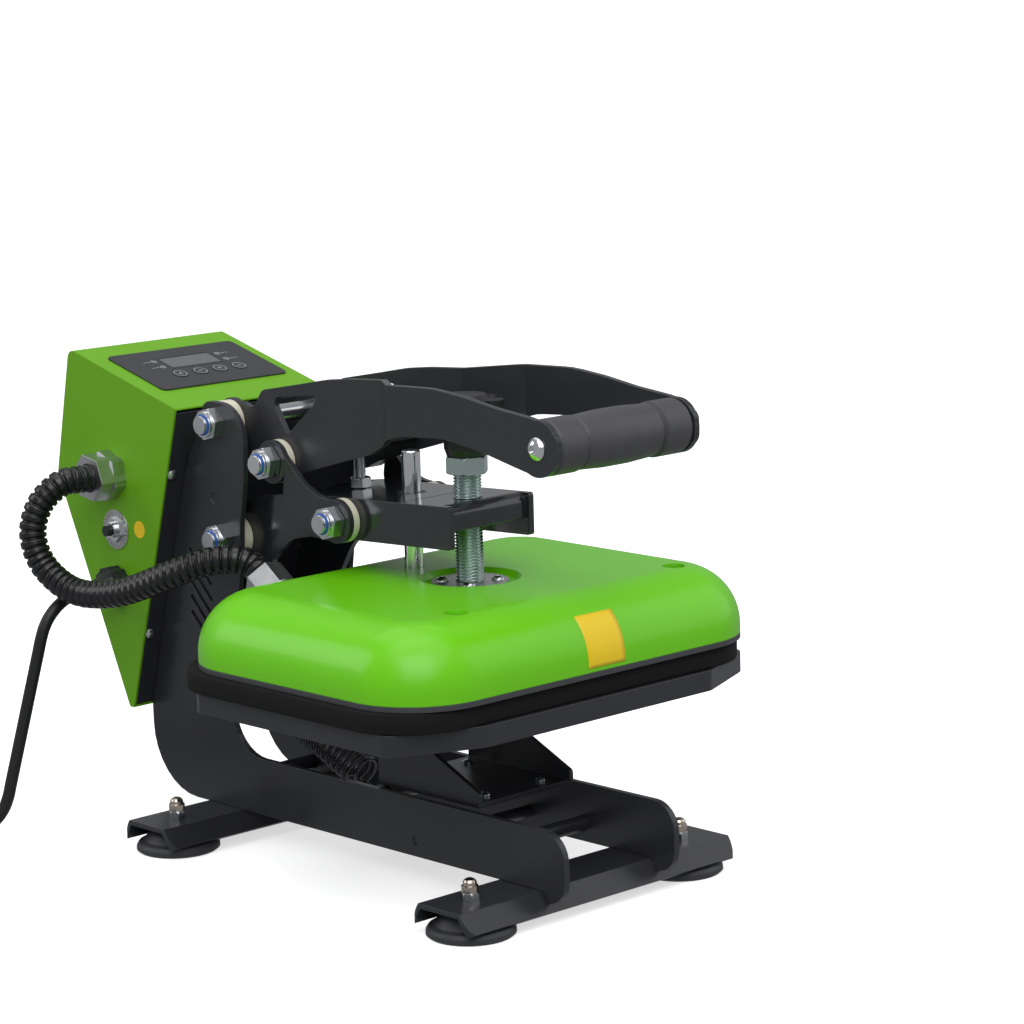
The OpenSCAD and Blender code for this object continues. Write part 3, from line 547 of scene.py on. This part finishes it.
def make_conduit():
    """The corrugated conduit in two lengths, joined where the arm carries it."""
    path = even(spline([mmv(*p) for p in CONDUIT_ROUTE], 10), 0.0005)
    pitch, outer, groove, seam_y = 0.0056, 0.0092, 0.0016, 0.046

    def rad(i, n, s):
        ph = (s / pitch) % 1.0
        dip = smooth(1 - abs(ph - 0.5) / 0.26)
        crown = 0.00035 * (2 * min(ph, 1 - ph) - 0.3) ** 2
        return outer - groove * dip - crown

    cut = max(range(len(path)), key=lambda i: -abs(path[i].y - seam_y) if path[i].x > -0.1 else -9)
    main = tube("conduit_loop", path[:cut + 1], rad, 22, cap=False)
    tail_len = sum((b - a).length for a, b in zip(path[:cut + 1], path[1:cut + 1]))
    tail = tube("conduit_end", path[cut:], lambda i, n, s: rad(i, n, s + tail_len), 22, cap=False)
    finish_piece(main, "conduit_pa", None, ["conduit"])
    finish_piece(tail, "conduit_pa", None, [])
    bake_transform(main)
    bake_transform(tail)


make_conduit()

# -------------------------------------------------------------- spring

def make_spring():
    """The counterbalance spring as a wound wire with a hook at each end."""
    a, b = mmv(0, -13, 38), mmv(0, 117.7, 95)
    length = (b - a).length
    t = (b - a).normalized()
    u = Vector((1, 0, 0))
    w = t.cross(u)
    wire, coil_r, pitch = 0.0014, 0.0110, 0.0055
    low, high = 0.021, length - 0.021
    turns = round((high - low) / pitch)
    hook_lo, hook_hi = 0.0078, 0.0057
    pts = []
    for k in range(17):
        ang = math.radians(-110 + 17 * k) + math.pi
        pts.append(a + (t * math.cos(ang) + w * math.sin(ang)) * hook_lo)
    pts.append(a + t * 0.012 + w * 0.004)
    steps = turns * 16
    for i in range(steps + 1):
        f = i / steps
        ph = 2 * math.pi * turns * f + math.pi / 2
        ends = smooth(min(f, 1 - f) * turns / 0.45)
        rad = 0.0045 + (coil_r - 0.0045) * ends
        pts.append(a + t * (low + (high - low) * f) + (u * math.cos(ph) + w * math.sin(ph)) * rad)
    pts.append(b - t * 0.011 + w * 0.003)
    for k in range(17):
        ang = math.radians(-150 + 17 * k) + math.pi
        pts.append(b + (t * math.cos(ang) + w * math.sin(ang)) * hook_hi)
    coil = tube("counter_spring", spline(pts, 2), lambda i, n, s: wire, 12)
    finish_piece(coil, "spring_steel", None, ["spring"])
    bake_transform(coil)


make_spring()

# ----------------------------------------------- fasteners and threads

def fasteners():
    """The pressure screw's thread, and the blue insert ring in each lock nut."""
    lo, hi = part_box("pressure_screw")
    cx, cy = (lo.x + hi.x) / 2, (lo.y + hi.y) / 2
    scr = threaded("screw_thread", (cx, cy, lo.z), (0, 0, 1), 0.00898, hi.z - lo.z, 0.002, 0.00105, 44, 8)
    finish_piece(scr, "screw_zinc", "screw", ["pressure_screw"])
    sharp_by_angle(scr, 50)
    rings = (("a", PIVOT_A, 49, "base"), ("b", PIVOT_B, 49, "base"), ("c", PIVOT_C, 45, "handle"),
             ("d", PIVOT_D, 45, "link"))
    for tag, p, seat, body in rings:
        for side in (-1, 1):
            ring = lathe("nut_insert_%s_%s" % (tag, "l" if side < 0 else "r"),
                         [(0.0061, 0.0), (0.0069, 0.0), (0.0069, 0.0006), (0.0067, 0.0008),
                          (0.0061, 0.0008)],
                         mmv(side * (seat + 10.9), *p), (side, 0, 0), 40)
            finish_piece(ring, "blue_ring", body, [])


fasteners()


def hex_nut(name, base, af, h, bore):
    """Hexagonal nut with chamfered corners along +Z."""
    seg = 48
    verts, rings = [], []
    for z, cham in ((0.0, 1), (0.06, 0), (0.94, 0), (1.0, 1)):
        row = []
        for k in range(seg):
            a = 2 * math.pi * k / seg
            hexr = af / 2 / math.cos((a % (math.pi / 3)) - math.pi / 6)
            r = af / 2 if cham else hexr
            row.append(len(verts))
            verts.append(base + Vector((r * math.cos(a), r * math.sin(a), z * h)))
        rings.append(row)
    inner = []
    for z in (0.0, 1.0):
        row = []
        for k in range(seg):
            a = 2 * math.pi * k / seg
            row.append(len(verts))
            verts.append(base + Vector((bore * math.cos(a), bore * math.sin(a), z * h)))
        inner.append(row)
    order = [inner[0]] + rings + [inner[1]]
    faces = []
    for lo, hi in zip(order, order[1:]):
        for k in range(seg):
            k2 = (k + 1) % seg
            faces.append((lo[k], lo[k2], hi[k2], hi[k]))
    for k in range(seg):
        k2 = (k + 1) % seg
        faces.append((inner[1][k], inner[1][k2], inner[0][k2], inner[0][k]))
    return mesh_object(name, verts, faces)


def stop_bolt():
    """The threaded stop with a nut above and below the arm's web."""
    x, y = 0.0, 0.0017
    rod = threaded("stop_thread", (x, y, 0.2251), (0, 0, 1), 0.00394, 0.0363, 0.00125, 0.0007, 32, 8)
    finish_piece(rod, "zinc", "arm", ["stop_bolt"])
    sharp_by_angle(rod, 50)
    for tag, z, h in (("upper", 0.23801, 0.0065), ("lower", 0.22646, 0.0065)):
        nut = hex_nut("stop_nut_" + tag, Vector((x, y, z)), 0.013, h, 0.0041)
        finish_piece(nut, "zinc", "arm", [], smooth=False)


stop_bolt()

# --------------------------------------------------------- silicone pad

def make_pad():
    """The silicone sponge with softly rounded edges and a slightly uneven skin."""
    lo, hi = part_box("silicone_pad")
    hx, hy = (hi.x - lo.x) / 2, (hi.y - lo.y) / 2
    cx, cy = (lo.x + hi.x) / 2, (lo.y + hi.y) / 2
    rc = 0.046
    prof = [(0.0014, 0.0), (0.0004, 0.0005), (0.0, 0.0014), (0.0, 0.0065), (0.0, 0.0116), (0.0005, 0.0125),
            (0.0015, 0.01295)]
    seg = 20
    uneven = 0.00012

    def loop(inset):
        pts = []
        for q, (sx, sy) in enumerate(((1, 1), (-1, 1), (-1, -1), (1, -1))):
            for k in range(seg + 1):
                a = math.radians(90 * q + 90 * k / seg)
                pts.append((cx + sx * (hx - rc) + (rc - inset) * math.cos(a),
                            cy + sy * (hy - rc) + (rc - inset) * math.sin(a)))
        return pts

    verts, faces = [], []
    for inset, h in prof:
        ring = loop(inset)
        n = len(ring)
        for x, y in ring:
            wob = uneven * noise.noise(Vector((x * 60, y * 60, h * 200)))
            outwards = Vector((x - cx, y - cy, 0)).normalized()
            verts.append(Vector((x, y, lo.z + h)) + outwards * (wob - uneven))
    for j in range(len(prof) - 1):
        for i in range(n):
            i2 = (i + 1) % n
            faces.append((j * n + i, j * n + i2, (j + 1) * n + i2, (j + 1) * n + i))
    faces.append(tuple(range(n)))
    faces.append(tuple(range((len(prof) - 1) * n, len(prof) * n)))
    pad = mesh_object("sponge_pad", verts, faces)
    finish_piece(pad, "foam", "base", ["silicone_pad"])
    sharp_by_angle(pad, 40)


make_pad()

# ------------------------------------------------------- panel details

SLOPE = math.atan2(TOP_BACK[1] - TOP_FRONT[1], TOP_BACK[0] - TOP_FRONT[0])


def on_slope(x, v, h):
    """A point on the box's sloping top: across, up the slope, and off its surface."""
    c, s = math.cos(SLOPE), math.sin(SLOPE)
    return mmv(x, TOP_FRONT[0] + v * c - h * s, TOP_FRONT[1] + v * s + h * c)


def on_side(u, v, h):
    """A point on the box's left side, set out from the middle of the breaker."""
    return mmv(-BOX_HW - h, BREAKER[0] + u, BREAKER[1] + v)


def flat_piece(name, loops, h0, h1, mat, place, body):
    """A thin plate with outline loops [outer, hole] given as lists of (u, v) in millimetres."""
    verts, faces = [], []
    n = len(loops[0])
    for lp in loops:
        for h in (h0, h1):
            verts += [place(u, v, h) for u, v in lp]

    def quad(a, b):
        for k in range(n):
            k2 = (k + 1) % n
            faces.append((a + k, a + k2, b + k2, b + k))

    quad(0, n)
    if len(loops) == 2:
        quad(n, 3 * n)
        quad(3 * n, 2 * n)
        quad(2 * n, 0)
    else:
        faces.append(tuple(range(n)))
        faces.append(tuple(range(n, 2 * n)))
    ob = mesh_object(name, verts, faces)
    return finish_piece(ob, mat, body, [], smooth=False)


def circle(cx, cy, r, n=36):
    """n points round a circle."""
    steps = [2 * math.pi * k / n for k in range(n)]
    return [(cx + r * math.cos(a), cy + r * math.sin(a)) for a in steps]


def round_rect(cx, cy, hx, hy, r, seg=5):
    """Points round a rectangle of half sizes hx and hy with rounded corners."""
    out = []
    for q, (sx, sy) in enumerate(((1, 1), (-1, 1), (-1, -1), (1, -1))):
        for k in range(seg + 1):
            a = math.radians(90 * q + 90 * k / seg)
            out.append((cx + sx * (hx - r) + r * math.cos(a), cy + sy * (hy - r) + r * math.sin(a)))
    return out


def panel_details():
    """Plain marks on the keys, the display's frame, and the indicator dots with their dashes."""
    low, high = 1.55, 1.68
    for i, x in enumerate(KEY_X):
        body = "key_%d" % (i + 1)
        at = PANEL_X + x
        flat_piece("key_ring_%d" % (i + 1), [circle(at, KEY_V, 4.9), circle(at, KEY_V, 4.2)],
                   low, high, "print", on_slope, body)
    tri = {0: [(-1.8, -1.2), (1.8, -1.2), (0, 1.8)], 2: [(-1.8, 1.2), (0, -1.8), (1.8, 1.2)]}
    for i in (0, 2, 1, 3):
        x = PANEL_X + KEY_X[i]
        mark = [(x + u, KEY_V + v) for u, v in tri[i]] if i in tri else round_rect(x, KEY_V, 1.7, 0.5, 0.4, 3)
        flat_piece("key_mark_%d" % (i + 1), [mark], low, high, "print", on_slope, "key_%d" % (i + 1))
    lcd_x, lcd_v = PANEL_X + 0.6, 71
    flat_piece("display_frame",
               [round_rect(lcd_x, lcd_v, 22.6, 10.1, 1.5), round_rect(lcd_x, lcd_v, 21.2, 8.7, 0.8)],
               1.0, 1.32, "overlay", on_slope, "base")
    for k, (x, v) in enumerate(((-26.8, 75.5), (-26.8, 65.3), (27.2, 75.3), (27.2, 65.0))):
        at = PANEL_X + x
        flat_piece("indicator_%d" % (k + 1), [circle(at, v, 1.5, 20)], 1.0, 1.4, "led_off", on_slope,
                   "base")
        flat_piece("indicator_rim_%d" % (k + 1), [circle(at, v, 2.3, 24), circle(at, v, 1.7, 24)], 1.0, 1.3,
                   "print", on_slope, "base")
        side = -1 if x < 0 else 1
        for j, (du, w) in enumerate(((4.6, 1.4), (7.8, 1.0))):
            flat_piece("indicator_dash_%d_%d" % (k + 1, j), [round_rect(at + side * du, v, w, 0.45, 0.3, 3)],
                       1.0, 1.28, "print", on_slope, "base")


panel_details()


def stickers():
    """A plain label on the cover's front, a round one by the breaker, and ticks on the breaker's plate."""
    lo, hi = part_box("heater_cover")
    yf, zc, r = lo.y, hi.z - COVER_ROUND, COVER_ROUND
    rows, cols = 14, 8
    lift = 0.00005
    verts, faces = [], []
    x0, x1 = -0.011, 0.020
    for i in range(rows + 1):
        a = math.radians(-4 + 51 * i / rows)
        if a < 0:
            y, z = yf, zc + r * a
            nrm = Vector((0, -1, 0))
        else:
            y, z = yf + r - r * math.cos(a), zc + r * math.sin(a)
            nrm = Vector((0, -math.cos(a), math.sin(a)))
        for j in range(cols + 1):
            x = x0 + (x1 - x0) * j / cols
            verts.append(Vector((x, y, z)) + nrm * lift)
    for i in range(rows):
        for j in range(cols):
            k = i * (cols + 1) + j
            faces.append((k, k + 1, k + cols + 2, k + cols + 1))
    lab = mesh_object("plain_label", verts, faces)
    so = lab.modifiers.new("thick", "SOLIDIFY")
    so.thickness = 0.00015
    so.offset = 1
    finish_piece(lab, "label", "hot_platen", [])

    flat_piece("round_sticker", [circle(-25.5, 2.5, 5.8)], 0.05, 0.2, "label", on_side, "base")
    flat_piece("breaker_dial", [circle(0, 0, 13.3, 48), circle(0, 0, 5.6, 48)], 0.8, 0.86, "dial", on_side,
               "base")
    ticks = 24
    for k in range(ticks):
        a = 2 * math.pi * k / ticks
        if 5 < k < 9:
            continue
        c, s = math.cos(a), math.sin(a)
        corners = ((10.4, -0.22), (12.6, -0.22), (12.6, 0.22), (10.4, 0.22))
        lp = [(r0 * c - w * s, r0 * s + w * c) for r0, w in corners]
        flat_piece("breaker_tick_%02d" % k, [lp], 0.86, 0.95, "ink", on_side, "base")


stickers()

# ---------------------------------------------------- floor and lights

def studio():
    """A pale floor, a soft sky and broad lights."""
    me = bpy.data.meshes.new("floor")
    half = 60.0
    corners = [(-half, -half, 0), (half, -half, 0), (half, half, 0), (-half, half, 0)]
    me.from_pydata(corners, [], [(0, 1, 2, 3)])
    fl = bpy.data.objects.new("floor", me)
    scene.collection.objects.link(fl)
    m = bpy.data.materials.new("pale_floor")
    m.use_nodes = True
    b = m.node_tree.nodes["Principled BSDF"]
    b.inputs["Base Color"].default_value = (0.90, 0.90, 0.90, 1)
    b.inputs["Roughness"].default_value = 0.8
    b.inputs["Specular IOR Level"].default_value = 0.1
    b.inputs["Emission Color"].default_value = (1, 1, 1, 1)
    b.inputs["Emission Strength"].default_value = 0.62
    me.materials.append(m)
    fl.visible_glossy = False
    fl.visible_diffuse = False

    w = bpy.data.worlds.new("soft_world")
    scene.world = w
    w.use_nodes = True
    w.node_tree.nodes["Background"].inputs[0].default_value = (0.95, 0.97, 1.0, 1)
    w.node_tree.nodes["Background"].inputs[1].default_value = 0.33

    sun = bpy.data.lights.new("overhead_sun", "SUN")
    sun.energy = 1.15
    sun.angle = math.radians(70)
    so = bpy.data.objects.new("overhead_sun", sun)
    scene.collection.objects.link(so)
    so.rotation_euler = (math.radians(18), math.radians(-14), 0)

    def area(name, place, target, size, power):
        li = bpy.data.lights.new(name, "AREA")
        li.energy = power
        li.size = size
        ob = bpy.data.objects.new(name, li)
        scene.collection.objects.link(ob)
        ob.location = place
        ob.rotation_euler = (Vector(target) - Vector(place)).to_track_quat("-Z", "Y").to_euler()

    area("key_light", (-1.3, -1.4, 1.7), (0, -0.05, 0.15), 1.8, 19)
    area("fill_light", (1.7, -1.0, 1.0), (0, -0.05, 0.15), 1.6, 7)
    area("top_light", (0.2, 0.5, 1.9), (0, 0, 0.1), 1.6, 6)
    area("rim_light", (-1.2, 1.3, 1.1), (0, 0, 0.2), 0.9, 5)
    scene.view_settings.view_transform = "Standard"
    scene.view_settings.look = "None"


studio()
